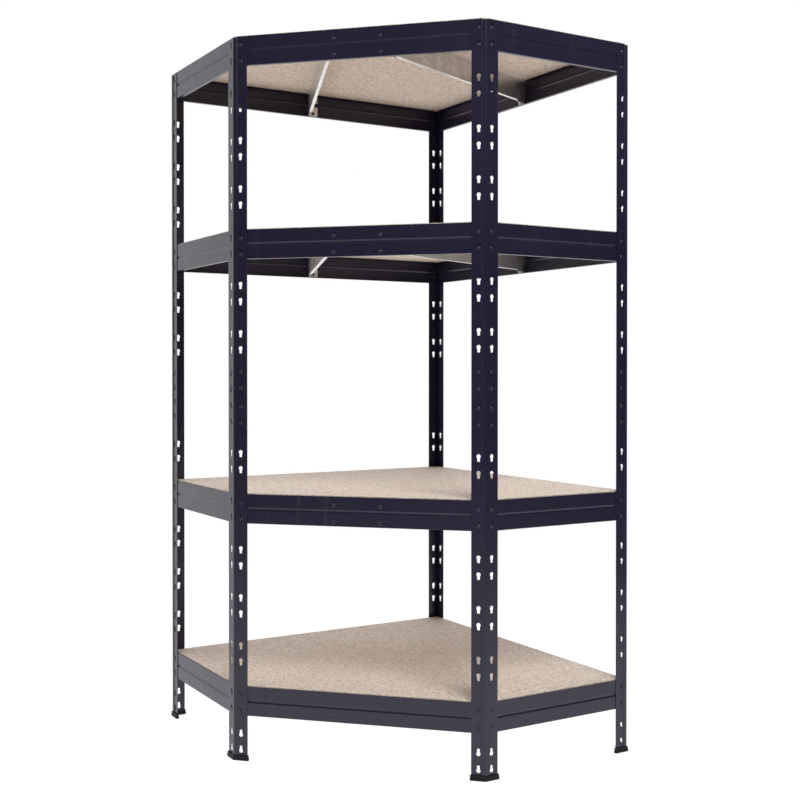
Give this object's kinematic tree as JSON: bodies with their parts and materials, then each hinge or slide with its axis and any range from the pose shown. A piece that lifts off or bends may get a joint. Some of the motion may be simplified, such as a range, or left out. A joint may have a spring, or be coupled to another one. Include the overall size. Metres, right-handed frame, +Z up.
{
  "type": "boltless steel shelving",
  "caption": "Free-standing corner shelving: riveted steel beams hook into keyholed angle posts and carry loose pentagonal boards behind a slanting front.",
  "frame": {"origin": "on the floor, in the middle of the square that the two walls and the two ends enclose", "axes": "+Z up; the walls are the planes x = -0.445 and y = +0.445, they meet at the back corner, and the slanting front faces +X and -Y"},
  "size_m": [0.8956, 0.8956, 1.8051],
  "materials": {
    "powder_coat": "satin blue-black powder coat",
    "rivet": "satin blue-black, coated with the beams",
    "galvanised": "dull zinc",
    "chipboard": "raw pressed wood chips",
    "foot_plastic": "black moulded plastic"
  },
  "bodies": {
    "frame": {"back_corner_foot": "foot_plastic", "back_corner_post_lower": "powder_coat", "back_corner_post_upper": "powder_coat", "back_corner_splice": "powder_coat", "front_beam_level_1": "powder_coat", "front_beam_level_2": "powder_coat", "front_beam_level_3": "powder_coat", "front_beam_level_4": "powder_coat", "front_left_foot": "foot_plastic", "front_left_post_lower": "powder_coat", "front_left_post_upper": "powder_coat", "front_left_splice": "powder_coat", "front_right_foot": "foot_plastic", "front_right_post_lower": "powder_coat", "front_right_post_upper": "powder_coat", "front_right_splice": "powder_coat", "left_end_beam_level_1": "powder_coat", "left_end_beam_level_2": "powder_coat", "left_end_beam_level_3": "powder_coat", "left_end_beam_level_4": "powder_coat", "left_end_foot": "foot_plastic", "left_end_post_lower": "powder_coat", "left_end_post_upper": "powder_coat", "left_end_splice": "powder_coat", "left_tie_bar_level_1": "galvanised", "left_tie_bar_level_2": "galvanised", "left_tie_bar_level_3": "galvanised", "left_tie_bar_level_4": "galvanised", "left_wall_beam_level_1": "powder_coat", "left_wall_beam_level_2": "powder_coat", "left_wall_beam_level_3": "powder_coat", "left_wall_beam_level_4": "powder_coat", "right_end_beam_level_1": "powder_coat", "right_end_beam_level_2": "powder_coat", "right_end_beam_level_3": "powder_coat", "right_end_beam_level_4": "powder_coat", "right_end_foot": "foot_plastic", "right_end_post_lower": "powder_coat", "right_end_post_upper": "powder_coat", "right_end_splice": "powder_coat", "right_tie_bar_level_1": "galvanised", "right_tie_bar_level_2": "galvanised", "right_tie_bar_level_3": "galvanised", "right_tie_bar_level_4": "galvanised", "right_wall_beam_level_1": "powder_coat", "right_wall_beam_level_2": "powder_coat", "right_wall_beam_level_3": "powder_coat", "right_wall_beam_level_4": "powder_coat", "rivets_level_1": "rivet", "rivets_level_2": "rivet", "rivets_level_3": "rivet", "rivets_level_4": "rivet", "splice_rivets": "rivet"},
    "shelf_1": {"board_level_1": "chipboard"},
    "shelf_2": {"board_level_2": "chipboard"},
    "shelf_3": {"board_level_3": "chipboard"},
    "shelf_4": {"board_level_4": "chipboard"}
  },
  "joints": [
    {"name": "shelf_1_lift", "type": "slide", "parent": "frame", "child": "shelf_1", "axis": [0, 0, 1], "range_m": [0, 0.15]},
    {"name": "shelf_2_lift", "type": "slide", "parent": "frame", "child": "shelf_2", "axis": [0, 0, 1], "range_m": [0, 0.15]},
    {"name": "shelf_3_lift", "type": "slide", "parent": "frame", "child": "shelf_3", "axis": [0, 0, 1], "range_m": [0, 0.15]},
    {"name": "shelf_4_lift", "type": "slide", "parent": "frame", "child": "shelf_4", "axis": [0, 0, 1], "range_m": [0, 0.15]}
  ]
}
